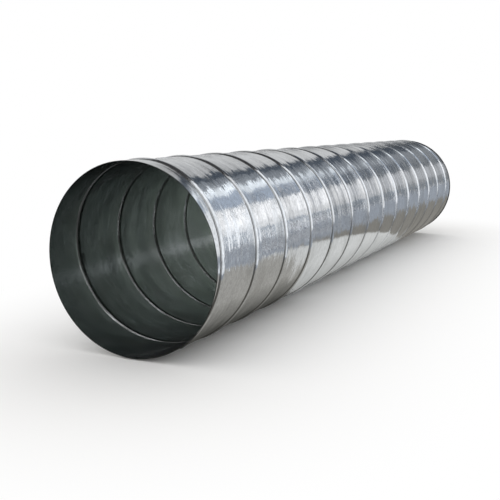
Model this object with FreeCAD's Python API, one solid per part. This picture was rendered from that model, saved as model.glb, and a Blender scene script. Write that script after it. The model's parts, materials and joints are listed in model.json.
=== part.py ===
"""Spiral duct section: one galvanised steel strip wound into a round tube and locked by a folded helical seam.

The duct lies along Y with its near end at -Y. Z is up, and the origin is on the ground under its middle.
"""
import FreeCAD, Part
import math
import os

# Duct, in millimetres: the nominal size of a round duct is its inside diameter
inner_diameter = 280.0
duct_length = 1500.0
sheet_thickness = 0.6

# Strip and its lock seam: the plies of two edges folded together and pressed flat on the outside
strip_width = 137.0
seam_width = 9.5
ply_count = 4
ply_gap = 0.12

# Bends of the seam, measured along the duct, and how many plies deep the joint line is on the inside
ramp_run = 1.9
nose_undercut = 0.5
fold_run = 1.0
groove_plies = 2

# Where the seam runs out at the near end: degrees from the top, clockwise as seen from that end
seam_end_angle = 115.0

# Radii of the sheet's two faces, of the seam's crown and of the bottom of the joint line
ply_height = sheet_thickness + ply_gap
inner_radius = inner_diameter / 2
outer_radius = inner_radius + sheet_thickness
crown_radius = outer_radius + (ply_count - 1) * ply_height
groove_radius = inner_radius + groove_plies * ply_height

# The folds take up part of the strip, and what is left of it covers one turn
cover_width = strip_width - (ply_count - 1) * seam_width
seam_pitch = cover_width / math.sqrt(1 - (cover_width / (math.pi * inner_diameter)) ** 2)

# The joint line runs up the inside of the ramp, so that the sheet keeps its thickness there
groove_run = ramp_run * (groove_radius - inner_radius) / (crown_radius - outer_radius)

# One turn's section as (radius, place along the duct), from the near edge of a seam to that of the next
outer_line = [
    (outer_radius, 0),
    (crown_radius, ramp_run),
    (crown_radius, seam_width),
    (outer_radius, seam_width - nose_undercut),
    (outer_radius, seam_pitch),
]
inner_line = [
    (inner_radius, 0),
    (groove_radius, groove_run),
    (inner_radius, groove_run + fold_run),
    (inner_radius, seam_pitch),
]

# The strip is wound from past the far end to past the near end, in half turns, and then cut square
full_turn = 2 * math.pi
bands_per_turn = 2
band_angle = full_turn / bands_per_turn
overrun = seam_width
wound_from = duct_length + overrun
turn_count = math.ceil((wound_from + overrun) / seam_pitch) + 1
band_count = turn_count * bands_per_turn


def height(along, angle):
    """How high a point of the section stands at an angle of the winding: the helix is left-handed."""
    return wound_from + along - seam_pitch * angle / full_turn


def cylinder(radius):
    surface = Part.Cylinder()
    surface.Radius = radius
    return surface


def edge_on_cylinder(radius, start, end):
    """A straight line on the unrolled cylinder: a helix, or an upright line where the angles are equal."""
    line = Part.Geom2d.Line2dSegment(FreeCAD.Base.Vector2d(*start), FreeCAD.Base.Vector2d(*end))
    return line.toShape(cylinder(radius))


def band(first, second, index):
    """The face that one straight piece of the section sweeps in one part of a turn."""
    angles = (index * band_angle, (index + 1) * band_angle)
    unrolled = (angles[0] % full_turn, angles[0] % full_turn + band_angle)

    def corner(point, end):
        return (unrolled[end], height(point[1], angles[end]))

    helices = [edge_on_cylinder(p[0], corner(p, 0), corner(p, 1)) for p in (first, second)]
    if first[0] != second[0]:
        return Part.makeRuledSurface(*helices)
    uprights = [edge_on_cylinder(first[0], corner(first, end), corner(second, end)) for end in (0, 1)]
    face = Part.Face(cylinder(first[0]), Part.Wire(Part.__sortEdges__(helices + uprights)))
    face.validate()
    return face


def section_face(angle):
    """The strip's cut end: one whole section, standing in the plane through the axis at that angle."""
    corners = []
    for radius, along in outer_line + inner_line[::-1]:
        corners.append(FreeCAD.Vector(radius * math.cos(angle), radius * math.sin(angle), height(along, angle)))
    return Part.Face(Part.makePolygon(corners + corners[:1]))


def wound_strip():
    """The strip with its seam closed, standing along Z, with the free edges of its first and last turns."""
    faces = [section_face(0), section_face(turn_count * full_turn)]
    for index in range(band_count):
        for line in (outer_line, inner_line):
            faces += [band(first, second, index) for first, second in zip(line, line[1:])]
        if index < bands_per_turn:
            faces.append(band(inner_line[-1], outer_line[-1], index))
        if index >= band_count - bands_per_turn:
            faces.append(band(inner_line[0], outer_line[0], index))
    skin = Part.Compound(faces)
    skin.sewShape()
    return Part.makeSolid(skin.Shells[0])


def spiral_duct():
    """The wound strip cut square at both ends, turned to its seam's place and laid on the ground."""
    between_ends = Part.makeCylinder(crown_radius + overrun, duct_length)
    duct = wound_strip().common(between_ends).Solids[0]
    run_out_angle = 360 * wound_from / seam_pitch
    duct.rotate(FreeCAD.Vector(), FreeCAD.Vector(0, 0, 1), seam_end_angle - 90 - run_out_angle)
    duct.rotate(FreeCAD.Vector(), FreeCAD.Vector(1, 0, 0), -90)
    duct.translate(FreeCAD.Vector(0, -duct_length / 2, crown_radius))
    return duct


os.makedirs("parts", exist_ok=True)
duct = spiral_duct()
duct.exportStep("parts/spiral_duct.step")
print("seam pitch %.2f mm, %.2f turns" % (seam_pitch, duct_length / seam_pitch))
print("valid %s, volume %.0f mm3" % (duct.isValid(), duct.Volume))
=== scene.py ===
import bpy
import json
import math
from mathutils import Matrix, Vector


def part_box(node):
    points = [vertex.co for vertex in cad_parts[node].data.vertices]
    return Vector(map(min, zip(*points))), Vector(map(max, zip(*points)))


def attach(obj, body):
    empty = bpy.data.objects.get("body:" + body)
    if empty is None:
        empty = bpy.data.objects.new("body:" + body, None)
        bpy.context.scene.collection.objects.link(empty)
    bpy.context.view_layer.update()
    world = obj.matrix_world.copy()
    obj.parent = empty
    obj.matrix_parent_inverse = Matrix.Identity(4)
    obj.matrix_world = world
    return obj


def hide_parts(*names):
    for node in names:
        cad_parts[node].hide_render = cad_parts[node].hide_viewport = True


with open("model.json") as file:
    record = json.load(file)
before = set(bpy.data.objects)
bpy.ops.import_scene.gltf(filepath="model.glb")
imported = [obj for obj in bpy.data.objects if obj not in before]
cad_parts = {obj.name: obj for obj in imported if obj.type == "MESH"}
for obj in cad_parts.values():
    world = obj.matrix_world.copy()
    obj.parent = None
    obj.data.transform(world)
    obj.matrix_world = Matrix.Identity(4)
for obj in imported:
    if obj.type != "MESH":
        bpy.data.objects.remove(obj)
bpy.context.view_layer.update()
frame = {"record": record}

# the CAD node gives the duct's own size and place
boxLow, boxHigh = [Vector(corner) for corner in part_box("spiral_duct")]
crownRadius = (boxHigh.x - boxLow.x) / 2
axisHeight = boxLow.z + crownRadius
nearEnd = boxLow.y
farEnd = boxHigh.y
boreMount = next(m for m in frame["record"]["mounts"] if m["name"] == "duct_bore")
mm = 0.001
insideRadius = boreMount["dims"]["r_mm"] * mm


# the strip as the roll former leaves it, in millimetres and degrees
strip = {
    "width": 137.0,
    "thickness": 0.6,
    "seamWidth": 9.5,
    "plies": 4,
    "seamRunsOutAt": 115.0,  # degrees from the top, clockwise, at the near end
    "slopeStart": 0.0,  # places along the duct, from the near edge of the seam
    "noseStart": 8.48,
    "flushFrom": 11.5,
    "footRadius": 0.5,  # the slope that climbs over the next turn's hook
    "slopeAngle": 52.0,
    "crestRadius": 0.5,
    "domeAngle": 14.0,  # the seam's top leans and is a little round, high at its far side
    "domeEnd": 8.0,
    "noseRadius": 0.65,  # fold at the far side of the seam
    "noseAngle": 190.5,
    "returnRun": 1.0,
    "recessRadius": 20.0,  # the next turn lifts a little on its way under the seam
    "recessAngle": 5.5,
    "recessRun": 1.3,
    "levelAngle": 4.0,  # and goes on almost level
    "levelRun": 1.2,
    "hookRadius": 0.34,  # to the fold that the first one hooks into
    "hookAngle": 164.7,
    "hookRun": 1.8,
    "seamSteps": 4,  # faces round each bend: the slope's and the top's, and then the others'
    "noseSteps": 6,
    "recessSteps": 3,
    "levelSteps": 2,
    "hookSteps": 6,
    "wallCuts": 2,
    "stepsPerTurn": 90,
    "spareTurns": 2,  # wound past each end and then cut off
    "cutTolerance": 0.001,
    "smoothAngle": 40.0,  # sharper edges stay sharp
}

coverWidth = strip["width"] - (strip["plies"] - 1) * strip["seamWidth"]
seamPitch = coverWidth / math.sqrt(1 - (coverWidth * mm / (2 * math.pi * insideRadius)) ** 2) * mm
sheetRadius = insideRadius + strip["thickness"] / 2 * mm  # middle of the sheet's thickness
seamAtTop = nearEnd + seamPitch * strip["seamRunsOutAt"] / 360
cuts = {"nearCut": (nearEnd, -1), "farCut": (farEnd, 1)}  # places along the duct, and which way is off it


def deselectAll():
    if bpy.context.object and bpy.context.object.mode != "OBJECT":
        bpy.ops.object.mode_set(mode="OBJECT")
    bpy.ops.object.select_all(action="DESELECT")


def applyModifier(piece, modifier):
    bpy.context.view_layer.objects.active = piece
    bpy.ops.object.modifier_apply(modifier=modifier.name)


# picks up one open edge of the strip: where it is, and where it points in degrees from +Y towards up
def startEdge(piece, far):
    bpy.ops.mesh.select_all(action="DESELECT")
    bpy.ops.object.mode_set(mode="OBJECT")
    end = max(piece.data.vertices, key=lambda v: v.co.y if far else -v.co.y)
    end.select = True
    edge = {"place": end.co.copy(), "heading": 0 if far else 180}
    bpy.ops.object.mode_set(mode="EDIT")
    return edge


def pointing(edge, turned=0):
    angle = math.radians(edge["heading"] + turned)
    return Vector((0, math.cos(angle), math.sin(angle)))


def runOn(edge, length):
    step = pointing(edge) * length * mm
    bpy.ops.mesh.extrude_region_move(TRANSFORM_OT_translate={"value": step})
    edge["place"] += step


def foldRound(edge, radius, turn, steps):
    side = math.copysign(90, turn)
    centre = edge["place"] + pointing(edge, side) * radius * mm
    bpy.ops.mesh.spin(steps=steps, angle=-math.radians(turn), center=centre, axis=(1, 0, 0))
    edge["heading"] += turn
    edge["place"] = centre - pointing(edge, side) * radius * mm


# the straight part of the slope and the radius of the domed top, so that the nose starts in its place
def slopeAndDome():
    slope = math.radians(strip["slopeAngle"])
    dome = math.radians(strip["domeAngle"])
    domeEnd = math.radians(strip["domeEnd"])
    foot, crest = strip["footRadius"], strip["crestRadius"]
    rise = (crownRadius - sheetRadius) / mm - strip["thickness"] / 2
    rise -= strip["noseRadius"] * (1 - math.cos(domeEnd))
    rise -= foot * (1 - math.cos(slope)) + crest * (math.cos(dome) - math.cos(slope))
    run = strip["noseStart"] - strip["slopeStart"]
    run -= foot * math.sin(slope) + crest * (math.sin(slope) - math.sin(dome))
    domeRise = math.cos(domeEnd) - math.cos(dome)
    domeRun = math.sin(dome) - math.sin(domeEnd)
    flat = math.sin(slope) * domeRun - math.cos(slope) * domeRise
    slopeRun = (rise * domeRun - run * domeRise) / flat
    domeRadius = (run * math.sin(slope) - rise * math.cos(slope)) / flat
    return slopeRun, domeRadius


def foldedSection():
    deselectAll()
    bpy.ops.mesh.primitive_plane_add(size=1)
    piece = bpy.context.object
    piece.name = "spiralDuct"
    bpy.ops.object.mode_set(mode="EDIT")
    bpy.ops.mesh.select_mode(type="VERT")
    bpy.ops.mesh.select_all(action="SELECT")
    bpy.ops.mesh.merge(type="CENTER")  # one vertex to start from
    firstSeam = seamAtTop - strip["spareTurns"] * seamPitch
    wallStart = firstSeam + strip["flushFrom"] * mm
    wallEnd = firstSeam + seamPitch + strip["slopeStart"] * mm
    bpy.ops.transform.translate(value=(0, wallStart, sheetRadius))
    bpy.ops.mesh.extrude_region_move(TRANSFORM_OT_translate={"value": (0, wallEnd - wallStart, 0)})
    bpy.ops.mesh.select_all(action="SELECT")
    bpy.ops.mesh.subdivide(number_cuts=strip["wallCuts"])

    slopeRun, domeRadius = slopeAndDome()
    farEdge = startEdge(piece, far=True)
    foldRound(farEdge, strip["footRadius"], strip["slopeAngle"], strip["seamSteps"])
    runOn(farEdge, slopeRun)
    foldRound(farEdge, strip["crestRadius"], strip["domeAngle"] - strip["slopeAngle"], strip["seamSteps"])
    foldRound(farEdge, domeRadius, strip["domeEnd"] - strip["domeAngle"], strip["seamSteps"])
    foldRound(farEdge, strip["noseRadius"], -strip["noseAngle"], strip["noseSteps"])
    runOn(farEdge, strip["returnRun"])
    nearEdge = startEdge(piece, far=False)
    foldRound(nearEdge, strip["recessRadius"], -strip["recessAngle"], strip["recessSteps"])
    runOn(nearEdge, strip["recessRun"])
    foldRound(nearEdge, strip["recessRadius"], strip["levelAngle"], strip["levelSteps"])
    runOn(nearEdge, strip["levelRun"])
    foldRound(nearEdge, strip["hookRadius"], -strip["hookAngle"], strip["hookSteps"])
    runOn(nearEdge, strip["hookRun"])
    bpy.ops.object.mode_set(mode="OBJECT")
    print("folded section:", len(piece.data.edges), "edges")
    print("slope", round(slopeRun, 2), "mm, dome radius", round(domeRadius, 1), "mm")
    return piece


def windStrip(piece):
    turns = math.ceil((farEnd - nearEnd) / seamPitch) + 2 * strip["spareTurns"]
    screw = piece.modifiers.new("wind", "SCREW")
    screw.axis = "Y"
    screw.angle = -2 * math.pi  # left-handed
    screw.screw_offset = seamPitch
    screw.iterations = turns
    screw.steps = strip["stepsPerTurn"]
    screw.render_steps = strip["stepsPerTurn"]
    applyModifier(piece, screw)
    print("wound strip:", turns, "turns,", len(piece.data.polygons), "faces")


def cutSquare(piece):
    bpy.ops.object.mode_set(mode="EDIT")
    bpy.ops.mesh.select_mode(type="VERT")
    for name, (place, outward) in cuts.items():
        bpy.ops.mesh.select_all(action="SELECT")
        bpy.ops.mesh.bisect(
            plane_co=(0, place, 0),
            plane_no=(0, outward, 0),
            threshold=strip["cutTolerance"] * mm,
            clear_outer=True,
        )
        bpy.ops.object.vertex_group_assign_new()
        piece.vertex_groups.active.name = name
    bpy.ops.object.mode_set(mode="OBJECT")


def thickenSheet(piece):
    thicken = piece.modifiers.new("sheet", "SOLIDIFY")
    thicken.thickness = strip["thickness"] * mm
    thicken.offset = 0
    thicken.use_even_offset = True
    applyModifier(piece, thicken)
    # the folds' ends come out leaning, so they are pressed flat
    for name, (place, outward) in cuts.items():
        bpy.ops.object.mode_set(mode="EDIT")
        bpy.ops.mesh.select_all(action="DESELECT")
        bpy.ops.object.vertex_group_set_active(group=name)
        bpy.ops.object.vertex_group_select()
        bpy.ops.object.mode_set(mode="OBJECT")
        for corner in piece.data.vertices:
            corner.select = corner.select or (corner.co.y - place) * outward > 0
        bpy.ops.object.mode_set(mode="EDIT")
        bpy.ops.transform.resize(value=(1, 0, 1), center_override=(0, place, 0))
    bpy.ops.object.vertex_group_remove(all=True)
    bpy.ops.mesh.select_all(action="SELECT")
    bpy.ops.transform.translate(value=(0, 0, axisHeight))
    bpy.ops.mesh.normals_make_consistent(inside=False)
    bpy.ops.object.mode_set(mode="OBJECT")
    bpy.ops.object.shade_smooth_by_angle(angle=math.radians(strip["smoothAngle"]))


def makeDuct():
    piece = foldedSection()
    windStrip(piece)
    cutSquare(piece)
    thickenSheet(piece)
    piece.data.calc_loop_triangles()
    print("spiralDuct:", len(piece.data.loop_triangles), "triangles")
    return piece


def addNode(tree, kind, inputs=None, **settings):
    made = tree.nodes.new("ShaderNode" + kind)
    for name, value in settings.items():
        setattr(made, name, value)
    setInputs(tree, made, inputs or {})
    return made


def setInputs(tree, node, inputs):
    for name, value in inputs.items():
        if isinstance(value, bpy.types.NodeSocket):
            tree.links.new(value, node.inputs[name])
        else:
            node.inputs[name].default_value = value


def maths(tree, operation, *values):
    return addNode(tree, "Math", dict(enumerate(values)), operation=operation).outputs[0]


def vectorMaths(tree, operation, *values, **inputs):
    inputs = {**dict(enumerate(values)), **inputs}
    return addNode(tree, "VectorMath", inputs, operation=operation).outputs[0]


def mapRange(tree, value, fromMin, fromMax, toMin=0.0, toMax=1.0):
    limits = {"Value": value, "From Min": fromMin, "From Max": fromMax, "To Min": toMin, "To Max": toMax}
    return addNode(tree, "MapRange", limits, interpolation_type="SMOOTHSTEP").outputs[0]


# a Mix node's sockets go by number: the share, and then a pair for each kind of data
def mixValues(tree, share, first, second):
    return addNode(tree, "Mix", {0: share, 2: first, 3: second}).outputs[0]


def mixColours(tree, share, first, second):
    return addNode(tree, "Mix", {0: share, 6: first, 7: second}, data_type="RGBA").outputs[2]


def newGroup(name, inputs, outputs):
    tree = bpy.data.node_groups.new(name, "ShaderNodeTree")
    for side, sockets in (("INPUT", inputs), ("OUTPUT", outputs)):
        for socket, kind in sockets.items():
            tree.interface.new_socket(socket, in_out=side, socket_type="NodeSocket" + kind)
    return tree, tree.nodes.new("NodeGroupInput").outputs, tree.nodes.new("NodeGroupOutput").inputs


def useGroup(tree, group, **inputs):
    made = tree.nodes.new("ShaderNodeGroup")
    made.node_tree = group
    setInputs(tree, made, inputs)
    return made.outputs


# where a point lies on the strip, in metres: along it, across it from the seam's near edge, and on which
# face; then its height above the floor, and how far it is from the near end and from the nearer one
def stripPlaceGroup():
    tree, _, out = newGroup(
        "stripPlace",
        {},
        {"Place": "Vector", "Inside": "Float", "Height": "Float", "FromNear": "Float", "FromEnd": "Float"},
    )
    spot = addNode(tree, "SeparateXYZ", {0: addNode(tree, "TexCoord").outputs["Object"]}).outputs
    up = maths(tree, "SUBTRACT", spot["Z"], axisHeight)
    angle = maths(tree, "ARCTAN2", spot["X"], up)
    travel = maths(tree, "DIVIDE", maths(tree, "SUBTRACT", spot["Y"], seamAtTop), seamPitch)
    travel = maths(tree, "MULTIPLY_ADD", angle, 0.5 / math.pi, travel)
    turn = maths(tree, "FLOOR", travel)
    unrolled = maths(tree, "MULTIPLY_ADD", turn, -2 * math.pi, angle)
    along = maths(tree, "MULTIPLY", unrolled, sheetRadius)
    across = maths(tree, "MULTIPLY", maths(tree, "FRACT", travel), seamPitch)
    outward = addNode(tree, "CombineXYZ", {"X": spot["X"], "Z": up}).outputs[0]
    normal = addNode(tree, "NewGeometry").outputs["True Normal"]
    facing = addNode(tree, "VectorMath", {0: normal, 1: outward}, operation="DOT_PRODUCT")
    inside = maths(tree, "LESS_THAN", facing.outputs["Value"], 0.0)
    place = addNode(tree, "CombineXYZ", {"X": along, "Y": across, "Z": inside}).outputs[0]
    fromNear = maths(tree, "SUBTRACT", spot["Y"], nearEnd)
    fromEnd = maths(tree, "MINIMUM", fromNear, maths(tree, "SUBTRACT", farEnd, spot["Y"]))
    tree.links.new(place, out["Place"])
    tree.links.new(inside, out["Inside"])
    tree.links.new(spot["Z"], out["Height"])
    tree.links.new(fromNear, out["FromNear"])
    tree.links.new(fromEnd, out["FromEnd"])
    return tree


# zinc crystals: each has its own tone and leans its own way
def spangleGroup():
    tree, use, out = newGroup(
        "zincSpangle",
        {"Place": "Vector", "Size": "Vector", "Lean": "Float"},
        {"Tone": "Float", "Normal": "Vector"},
    )
    scaled = vectorMaths(tree, "DIVIDE", use["Place"], use["Size"])
    crystal = addNode(tree, "TexVoronoi", {"Vector": scaled, "Scale": 1.0}).outputs["Color"]
    tree.links.new(addNode(tree, "SeparateColor", {0: crystal}).outputs[0], out["Tone"])
    lean = vectorMaths(tree, "SUBTRACT", crystal, (0.5, 0.5, 0.5))  # so that they lean both ways
    lean = vectorMaths(tree, "SCALE", lean, Scale=use["Lean"])
    leaned = vectorMaths(tree, "ADD", addNode(tree, "NewGeometry").outputs["Normal"], lean)
    tree.links.new(vectorMaths(tree, "NORMALIZE", leaned), out["Normal"])
    return tree


# soft noise on the strip, as long and as wide as Size says, pulled to a mask between Low and High
def strokesGroup():
    tree, use, out = newGroup(
        "stripStrokes",
        {"Place": "Vector", "Size": "Vector", "Low": "Float", "High": "Float", "Detail": "Float"},
        {"Mask": "Float"},
    )
    scaled = vectorMaths(tree, "DIVIDE", use["Place"], use["Size"])
    noise = addNode(tree, "TexNoise", {"Vector": scaled, "Scale": 1.0, "Detail": use["Detail"]}).outputs[0]
    tree.links.new(mapRange(tree, noise, use["Low"], use["High"]), out["Mask"])
    return tree


# dirt and painted shade along the seam, between two places across the strip
def seamDirtAndShadeGroup():
    tree, use, out = newGroup(
        "seamDirtAndShade",
        {"Place": "Vector", "Before": "Float", "After": "Float", "Fade": "Float"},
        {"Mask": "Float"},
    )
    across = addNode(tree, "SeparateXYZ", {0: use["Place"]}).outputs["Y"]
    past = maths(tree, "GREATER_THAN", across, seamPitch / 2)
    signed = maths(tree, "MULTIPLY_ADD", past, -seamPitch, across)  # before the seam it is below zero
    start = maths(tree, "SUBTRACT", use["Before"], use["Fade"])
    end = maths(tree, "ADD", use["After"], use["Fade"])
    rising = mapRange(tree, signed, start, use["Before"])
    falling = mapRange(tree, signed, use["After"], end, 1.0, 0.0)
    tree.links.new(maths(tree, "MULTIPLY", rising, falling), out["Mask"])
    return tree


# the zinc coated sheet, in metres; a pattern's Size is along the strip, across it, and from face to face
zinc = {
    "brightColour": (0.58, 0.59, 0.6, 1),
    "dullColour": (0.4, 0.405, 0.4, 1),
    # one dark colour serves both for dirt and for painted shade
    "dirtAndShadeColour": (0.09, 0.088, 0.08, 1),
    # sawn edges painted near black as shade
    "cutSteelAndShadeColour": (0.06, 0.06, 0.058, 1),
    "roughness": 0.11,
    "crystals": {"Size": (0.0035, 0.0025, 0.2), "Lean": 0.03},
    "crystalTone": (0.9, 1.06),
    "rollingLines": {"Size": (0.3, 0.014, 0.2), "Low": 0.25, "High": 0.75, "Detail": 1.0},
    "rollingTone": (0.99, 1.01),
    "rollingHeight": (0.00024, 0.0001),  # outside and inside
    "rollingRoughness": 0.02,
    "smudges": {"Size": (0.1, 0.07, 0.2), "Low": 0.45, "High": 0.75, "Detail": 3.0},
    "scuffs": {"Size": (0.05, 0.01, 0.2), "Low": 0.7, "High": 0.82, "Detail": 2.0},
    "smudgeShare": 0.7,
    "smudgeRoughness": 0.1,
    "buckles": {"Size": (0.08, 0.045, 0.2), "Low": 0.0, "High": 1.0, "Detail": 1.0},
    "buckleHeight": 0.001,
    # dirt and painted shade near the floor, darker towards the bottom
    "lowDirtAndShade": {"Size": (0.05, 0.03, 0.2), "Low": 0.5, "High": 0.72, "Detail": 5.0},
    "lowDirtAndShadeHeight": (0.02, 0.12),  # thick at the first height, gone at the second
    "lowDirtAndShadeShare": 0.6,
    "seamDirtAndShade": {"Before": -0.0006, "After": 0.003, "Fade": 0.0006},  # dirt and painted shade along the seam's foot on the outside
    # the painted shade at the seam's foot is heavier low down and fades towards the far end
    "seamDirtAndShadeHeight": (0.1, 0.17),
    "seamDirtAndShadeShare": (0.9, 0.6),  # below the first height and above the second
    "seamDirtAndShadeReach": (0.5, 0.95),  # places from the near end
    "seamDirtAndShadeLeft": (1.0, 0.1),  # how much of it is left before the first and past the second
    "jointShadeAndNick": {"Before": 0.0052, "After": 0.0108, "Fade": 0.0007},  # painted shade along the joint on the inside
    "jointShadeAndNickShare": 0.8,
    "nickAlong": (-0.257, -0.23),  # a small nick beside the joint near the mouth: faint end and sharp end
    "nickAcross": (0.0145, 0.0215),  # dark at the first place, gone at the second
    "paintedInsideLight": 1.24,  # painted light: the inside is coloured lighter than the outside
    "cutDepth": 0.0005,
}


# the nick starts sharply, and fades out along the strip and across it
def nickMask(tree, place):
    onStrip = addNode(tree, "SeparateXYZ", {0: place}).outputs
    faintEnd, sharpEnd = zinc["nickAlong"]
    nick = mapRange(tree, onStrip["X"], faintEnd, sharpEnd)
    nick = maths(tree, "MULTIPLY", nick, maths(tree, "LESS_THAN", onStrip["X"], sharpEnd))
    nick = maths(tree, "MULTIPLY", nick, mapRange(tree, onStrip["Y"], *zinc["nickAcross"], 1.0, 0.0))
    besideJoint = maths(tree, "GREATER_THAN", onStrip["Y"], zinc["jointShadeAndNick"]["Before"])
    return maths(tree, "MULTIPLY", nick, besideJoint)


# dirt and painted shade near the floor and at the seam's foot on the outside, and painted shade in the
# joint and the nick on the inside
def dirtAndShadeMask(tree, spot, strokes):
    place = spot["Place"]
    alongSeam = seamDirtAndShadeGroup()
    lowDirtAndShade = useGroup(tree, strokes, Place=place, **zinc["lowDirtAndShade"])["Mask"]
    low = mapRange(tree, spot["Height"], *zinc["lowDirtAndShadeHeight"], zinc["lowDirtAndShadeShare"], 0.0)
    lowDirtAndShade = maths(tree, "MULTIPLY", lowDirtAndShade, low)
    footDirtAndShade = useGroup(tree, alongSeam, Place=place, **zinc["seamDirtAndShade"])["Mask"]
    share = mapRange(tree, spot["Height"], *zinc["seamDirtAndShadeHeight"], *zinc["seamDirtAndShadeShare"])
    left = mapRange(tree, spot["FromNear"], *zinc["seamDirtAndShadeReach"], *zinc["seamDirtAndShadeLeft"])
    footDirtAndShade = maths(tree, "MULTIPLY", footDirtAndShade, maths(tree, "MULTIPLY", share, left))
    outsideDirtAndShade = maths(tree, "MAXIMUM", lowDirtAndShade, footDirtAndShade)
    # painted shade along the joint, joined by the nick
    jointShadeAndNick = useGroup(tree, alongSeam, Place=place, **zinc["jointShadeAndNick"])["Mask"]
    jointShadeAndNick = maths(tree, "MAXIMUM", jointShadeAndNick, nickMask(tree, place))
    jointShadeAndNick = maths(tree, "MULTIPLY", jointShadeAndNick, zinc["jointShadeAndNickShare"])
    return mixValues(tree, spot["Inside"], outsideDirtAndShade, jointShadeAndNick)


def zincMaterial():
    material = bpy.data.materials.new("galvanisedSteel")
    material.use_nodes = True
    tree = material.node_tree
    strokes = strokesGroup()
    spot = useGroup(tree, stripPlaceGroup())
    place = spot["Place"]
    spangle = useGroup(tree, spangleGroup(), Place=place, **zinc["crystals"])
    lines = useGroup(tree, strokes, Place=place, **zinc["rollingLines"])["Mask"]
    smudges = useGroup(tree, strokes, Place=place, **zinc["smudges"])["Mask"]
    scuffs = useGroup(tree, strokes, Place=place, **zinc["scuffs"])["Mask"]
    buckles = useGroup(tree, strokes, Place=place, **zinc["buckles"])["Mask"]

    dull = maths(tree, "MULTIPLY", maths(tree, "MAXIMUM", smudges, scuffs), zinc["smudgeShare"])
    colour = mixColours(tree, dull, zinc["brightColour"], zinc["dullColour"])
    tone = mapRange(tree, spangle["Tone"], 0.0, 1.0, *zinc["crystalTone"])
    tone = maths(tree, "MULTIPLY", tone, mapRange(tree, lines, 0.0, 1.0, *zinc["rollingTone"]))
    # painted light: the inside is coloured lighter
    tone = maths(tree, "MULTIPLY", tone, mapRange(tree, spot["Inside"], 0.0, 1.0, 1.0, zinc["paintedInsideLight"]))
    colour = vectorMaths(tree, "SCALE", colour, Scale=tone)
    # dirt and painted shade darken the colour
    colour = mixColours(tree, dirtAndShadeMask(tree, spot, strokes), colour, zinc["dirtAndShadeColour"])
    cut = maths(tree, "GREATER_THAN", zinc["cutDepth"], spot["FromEnd"])  # the sawn edges are bare steel, painted near black as shade
    colour = mixColours(tree, cut, colour, zinc["cutSteelAndShadeColour"])

    roughness = maths(tree, "MULTIPLY_ADD", dull, zinc["smudgeRoughness"], zinc["roughness"])
    roughness = maths(tree, "MULTIPLY_ADD", lines, zinc["rollingRoughness"], roughness)
    rolling = mapRange(tree, spot["Inside"], 0.0, 1.0, *zinc["rollingHeight"])
    height = maths(tree, "MULTIPLY", lines, rolling)
    height = maths(tree, "MULTIPLY_ADD", buckles, zinc["buckleHeight"], height)
    bump = addNode(tree, "Bump", {"Height": height, "Distance": 1.0, "Normal": spangle["Normal"]})

    shader = tree.nodes["Principled BSDF"]
    shader.inputs["Metallic"].default_value = 1
    setInputs(tree, shader, {"Base Color": colour, "Roughness": roughness, "Normal": bump.outputs[0]})
    return material


# cards that only the metal mirrors, on a tunnel round the duct's axis: degrees round it from the top,
# metres along it, and how bright at the near end, and at the far end where that differs
tunnelRadius = 3.0
tunnelCards = {
    "narrowWindow": ((10, 22), (3.6, 8.3), (1.75, 1.86, 1.97), (0.42, 0.46, 0.51)),
    "greyPanel": ((22, 42), (3.6, 8.2), (0.55, 0.64, 0.78), (0.38, 0.44, 0.51)),
    "darkPanel": ((20, 42), (8.2, 11), (0.12, 0.14, 0.17)),
    "leftWall": ((-98, -77), (4.0, 9.6), (0.4, 0.41, 0.43), (0.42, 0.43, 0.45)),
    "wideWindow": ((42, 69), (4.6, 8.6), (1.84, 1.84, 1.86), (0.7, 0.72, 0.76)),
    "farWindow": ((42, 69), (8.6, 16), (0.64, 0.66, 0.7), (0.46, 0.48, 0.5)),
    "paleWall": ((69, 88), (4.6, 13), (0.46, 0.53, 0.62), (0.22, 0.24, 0.26)),
    "blueWall": ((88, 115), (4.6, 13), (0.36, 0.42, 0.5), (0.28, 0.3, 0.33)),
    "lateWindow": ((43, 100), (3.6, 4.6), (1.45, 1.5, 1.57)),
    "sideWindow": ((8, 100), (1.0, 3.6), (1.45, 1.5, 1.57)),
    "lowWindow": ((43, 100), (-1.6, 1.0), (1.45, 1.5, 1.57)),
    "dimSide": ((8, 43), (-1.6, 1.0), (0.2, 0.2, 0.21)),
    "darkSide": ((8, 100), (-3.8, -1.6), (0.08, 0.08, 0.085)),
    "backSide": ((8, 100), (-9, -3.8), (2.0, 2.0, 2.0)),
}
# cards just in front of those: the soft edge of the wide window, and bars that break up what is mirrored
barRadius = 2.9
barCards = {
    "windowEdge": ((66, 76), (4.6, 10), (1.3, 1.31, 1.33), (0.45, 0.47, 0.5)),
    "lightBar": ((76, 112), (5.3, 5.75), (1.8, 1.82, 1.86)),
    "darkBar": ((76, 112), (5.95, 6.5), (0.07, 0.09, 0.12)),
    "farLightBar": ((76, 112), (6.65, 7.2), (1.5, 1.52, 1.56)),
    "farDarkBar": ((76, 112), (7.4, 8.3), (0.09, 0.11, 0.14)),
    "upperDarkBar": ((22, 42), (5.7, 6.1), (0.08, 0.1, 0.14)),
    "upperLightBar": ((22, 42), (6.2, 6.55), (1.3, 1.32, 1.36)),
    "upperFarBar": ((22, 42), (6.8, 7.5), (0.08, 0.1, 0.14)),
}
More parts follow.
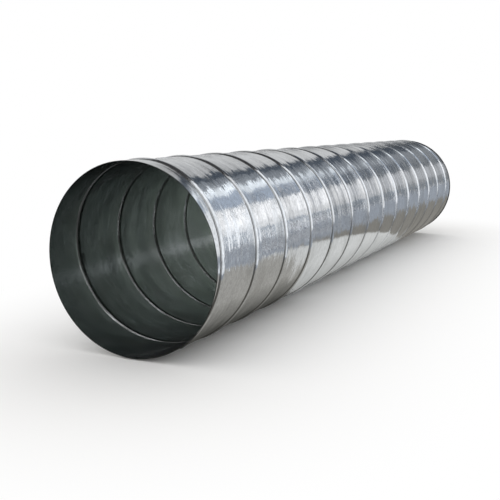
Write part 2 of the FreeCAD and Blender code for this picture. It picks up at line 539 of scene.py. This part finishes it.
# level cards: first corner, width and length, degrees turned, height, and how bright in the same way
levelCards = {
    "backRoof": ((-14, -9), (14.45, 5.7), 0, 3.34, (0.5, 0.5, 0.5)),
    "darkRoof": ((-14, -3.3), (14.45, 2.8), 0, 3.34, (0.08, 0.08, 0.085)),
    "overhead": ((-14, -0.5), (14.45, 2.0), 0, 3.34, (0.7, 0.7, 0.7)),
    "darkStrip": ((-14, 1.5), (14.45, 2.9), 0, 3.34, (0.08, 0.08, 0.085)),
    "nearCeiling": ((-12, 4.4), (14, 4.6), 0, 3.34, (0.6, 0.61, 0.62), (0.8, 0.81, 0.82)),
    "farCeiling": ((-12, 9), (14, 17), 0, 3.34, (0.8, 0.81, 0.82), (0.08, 0.085, 0.09)),
    "leftBeam": ((-0.483, 3.3), (0.62, 9.4), 8.75, 3.3, (0.075, 0.095, 0.125)),
    "rightBeam": ((-0.731, 3.3), (0.62, 9.4), 2.8, 3.3, (0.075, 0.095, 0.125)),
    "farBeam": ((-2.25, 12.2), (1.6, 14), 20, 3.3, (0.06, 0.07, 0.08), (0.12, 0.13, 0.14)),
    "nearLoft": ((-0.305, 3.33), (6, 9.4), 5.5, 3.32, (0.3, 0.33, 0.37), (0.26, 0.28, 0.31)),
    "farLoft": ((-1.197, 12.5), (9, 14), 19.6, 3.32, (0.26, 0.28, 0.3), (0.26, 0.27, 0.28)),
    "warmFloor": ((0.366, -1.166), (1.2, 0.8), 45, 0.001, (0.5, 0.49, 0.46)),
    "paleFloor": ((0.47, -0.45), (0.95, 0.31), 90, 0.0005, (0.85, 0.86, 0.85)),
    "fadingFloor": ((0.16, -0.45), (0.95, 0.1), 90, 0.0005, (0.85, 0.86, 0.85), (0.42, 0.43, 0.42)),
    "brownFloor": ((0.42, 0.05), (2.0, 3.0), 40, 0.0015, (0.3, 0.29, 0.265)),
    "blueFloor": ((0.46, -1.0), (3.0, 14.0), 4, 0.003, (0.42, 0.46, 0.52)),
    "shadedFloor": ((0.155, -0.76), (0.46, 0.085), 90, 0.0015, (0.45, 0.44, 0.41), (0.08, 0.08, 0.073)),
    "deepFloor": ((0.07, -0.76), (0.46, 0.09), 90, 0.0015, (0.08, 0.08, 0.073), (0.05, 0.05, 0.045)),
    "seamGlow": ((0.689, -0.54), (4.0, 0.45), 40, 0.0038, (1.2, 1.25, 1.31)),
    "frontFloor": ((-3, -8), (9, 7.24), 0, 0.0025, (0.3, 0.3, 0.29)),
    "backLamp": ((-0.8, -4.0), (2.8, 2.2), 0, 2.6, (3.0, 3.0, 3.0)),
}
# strips of light and dark on the floor, which the side mirrors as streaks
floorStrips = {
    "corner": (0.47, 0.1),  # of the first one
    "step": 0.085,
    "count": 8,
    "size": (0.04, 4.5),
    "turn": -26.6,
    "height": 0.0035,
    "colours": ((0.9, 0.93, 0.98), (0.08, 0.1, 0.13)),  # by turns
}
# walls across the tunnel: place along it, width and height, and how bright
crossCards = {
    "backWall": (-9, (28, 12), (0.5, 0.5, 0.5)),
    "greyEnd": (29, (24, 16), (0.33, 0.34, 0.35)),
}
# discs behind the far mouth: metres past it, radius, and how bright
mouthCards = {
    "mouthGlow": (0.001, 0.1395, (0.19, 0.228, 0.192)),
    "mouthShade": (0.005, 0.1445, (0.02, 0.02, 0.02)),
}
mouthCorners = 64
# a bright streak in front of them
mouthStreak = {
    "past": 0.0005,
    "turn": 72,  # degrees round from the top
    "width": 0.014,
    "colour": (0.95, 0.98, 0.96),
}


def cardMaterial(name, nearColour, farColour):
    material = bpy.data.materials.new(name)
    material.use_nodes = True
    tree = material.node_tree
    tree.nodes.clear()
    spot = addNode(tree, "SeparateXYZ", {0: addNode(tree, "TexCoord").outputs["Object"]}).outputs
    edges = {"From Min": -0.5, "From Max": 0.5}  # of a plane of size 1, before it is scaled
    along = addNode(tree, "MapRange", {"Value": spot["Y"], **edges}).outputs[0]
    glow = addNode(tree, "Emission", {"Color": mixColours(tree, along, (*nearColour, 1), (*farColour, 1))})
    addNode(tree, "OutputMaterial", {"Surface": glow.outputs[0]})
    return material


# a card shows only in the metal: it lights nothing else and stands in no view
def setAsCard(name, nearColour, farColour=None):
    card = bpy.context.object
    card.name = name
    card.data.materials.append(cardMaterial(name, nearColour, farColour or nearColour))
    card.visible_camera = False
    card.visible_diffuse = False
    card.visible_shadow = False


def addPlane(place, size, turn):
    deselectAll()
    bpy.ops.mesh.primitive_plane_add(size=1, location=place, rotation=turn)
    bpy.context.object.scale = (*size, 1)


def addLevelCard(corner, size, turn, height):
    angle = math.radians(turn)
    across = Vector((math.cos(angle), math.sin(angle), 0))
    forward = Vector((-math.sin(angle), math.cos(angle), 0))
    place = Vector((*corner, height)) + across * size[0] / 2 + forward * size[1] / 2
    addPlane(place, size, (0, 0, angle))


def makeTunnelCards(radius, cards):
    for name, ((fromRoll, toRoll), (start, end), *colours) in cards.items():
        roll = math.radians((fromRoll + toRoll) / 2)
        width = 2 * radius * math.tan(math.radians(toRoll - fromRoll) / 2)
        place = Vector((math.sin(roll), 0, math.cos(roll))) * radius
        place += Vector((0, (start + end) / 2, axisHeight))
        addPlane(place, (width, end - start), (0, roll, 0))
        setAsCard(name, *colours)


def makeLevelCards():
    for name, (corner, size, turn, height, *colours) in levelCards.items():
        addLevelCard(corner, size, turn, height)
        setAsCard(name, *colours)
    left, first = floorStrips["corner"]
    for index in range(floorStrips["count"]):
        corner = (left, first + index * floorStrips["step"])
        addLevelCard(corner, floorStrips["size"], floorStrips["turn"], floorStrips["height"])
        setAsCard("floorStrip" + str(index), floorStrips["colours"][index % 2])


def makeCrossCards():
    for name, (place, (width, height), colour) in crossCards.items():
        middle = height / 4  # a quarter of it is below the floor
        addPlane((0, place, middle), (width, height), (math.pi / 2, 0, 0))
        setAsCard(name, colour)


def makeMouthCards():
    for name, (past, radius, colour) in mouthCards.items():
        deselectAll()
        bpy.ops.mesh.primitive_circle_add(
            vertices=mouthCorners,
            radius=radius,
            fill_type="NGON",
            location=(0, farEnd + past, axisHeight),
            rotation=(math.pi / 2, 0, 0),
        )
        setAsCard(name, colour)
    place = (0, farEnd + mouthStreak["past"], axisHeight)
    addPlane(place, (mouthStreak["width"], 2 * insideRadius), (math.pi / 2, 0, 0))
    bpy.context.object.rotation_euler.y = math.radians(mouthStreak["turn"])
    setAsCard("mouthStreak", mouthStreak["colour"])


# floor and white surround, in metres
studio = {
    "floorSize": 80,
    "floorColour": (0.93, 0.925, 0.915, 1),
    "floorFade": (0.1, 0.5),  # distances from the duct between which it goes over into white
    "surroundColour": (1, 1, 1, 1),
    "surroundStrength": 1,
    "mirrorBounces": 12,  # the inside mirrors itself many times over
}


def makeFloor():
    deselectAll()
    bpy.ops.mesh.primitive_plane_add(size=studio["floorSize"])
    floor = bpy.context.object
    floor.name = "floor"
    material = bpy.data.materials.new("paleFloor")
    material.use_nodes = True
    tree = material.node_tree
    shader = tree.nodes["Principled BSDF"]
    shader.inputs["Base Color"].default_value = studio["floorColour"]
    shader.inputs["Roughness"].default_value = 1
    shader.inputs["Specular IOR Level"].default_value = 0
    spot = addNode(tree, "SeparateXYZ", {0: addNode(tree, "TexCoord").outputs["Object"]}).outputs
    beyond = maths(tree, "SUBTRACT", maths(tree, "ABSOLUTE", spot["Y"]), farEnd)
    beyond = maths(tree, "MAXIMUM", beyond, 0.0)
    away = maths(tree, "MULTIPLY_ADD", beyond, beyond, maths(tree, "POWER", spot["X"], 2.0))
    fade = mapRange(tree, maths(tree, "SQRT", away), *studio["floorFade"])
    ray = addNode(tree, "LightPath").outputs
    seen = maths(tree, "MAXIMUM", ray["Is Camera Ray"], ray["Is Glossy Ray"])
    seen = maths(tree, "MAXIMUM", seen, ray["Is Transmission Ray"])
    fade = maths(tree, "MULTIPLY", fade, seen)  # white to look at, and no more light on the duct
    white = addNode(tree, "Emission")
    mix = addNode(tree, "MixShader", {0: fade, 1: shader.outputs[0], 2: white.outputs[0]})
    tree.links.new(mix.outputs[0], tree.nodes["Material Output"].inputs["Surface"])
    floor.data.materials.append(material)


def makeSurround():
    world = bpy.context.scene.world or bpy.data.worlds.new("surround")
    bpy.context.scene.world = world
    world.use_nodes = True
    background = world.node_tree.nodes["Background"]
    background.inputs["Color"].default_value = studio["surroundColour"]
    background.inputs["Strength"].default_value = studio["surroundStrength"]


# the photo's camera, in degrees and in metres from the centre of the near mouth
photoCamera = {
    "lens": 56.17,
    "sensor": 36.0,
    "fromMouth": (0.618, -0.8953, 0.18895),
    "turn": 25.66,
    "tilt": 9.14,
    "clipStart": 0.01,
}


def makeCamera():
    camera = bpy.data.objects.new("photoCamera", bpy.data.cameras.new("photoCamera"))
    bpy.context.scene.collection.objects.link(camera)
    camera.data.lens = photoCamera["lens"]
    camera.data.sensor_width = photoCamera["sensor"]
    camera.data.clip_start = photoCamera["clipStart"]
    camera.location = Vector((0, nearEnd, axisHeight)) + Vector(photoCamera["fromMouth"])
    camera.rotation_euler = (math.radians(90 - photoCamera["tilt"]), 0, math.radians(photoCamera["turn"]))
    bpy.context.scene.camera = camera


makeCamera()
spiralDuct = makeDuct()
spiralDuct.data.materials.append(zincMaterial())
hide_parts("spiral_duct")
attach(spiralDuct, "root")
print("duct ready")

makeFloor()
makeSurround()
makeTunnelCards(tunnelRadius, tunnelCards)
makeTunnelCards(barRadius, barCards)
makeLevelCards()
makeCrossCards()
makeMouthCards()
print("cards ready")
bpy.context.scene.view_settings.view_transform = "Standard"
bpy.context.scene.cycles.glossy_bounces = studio["mirrorBounces"]
print("studio ready")
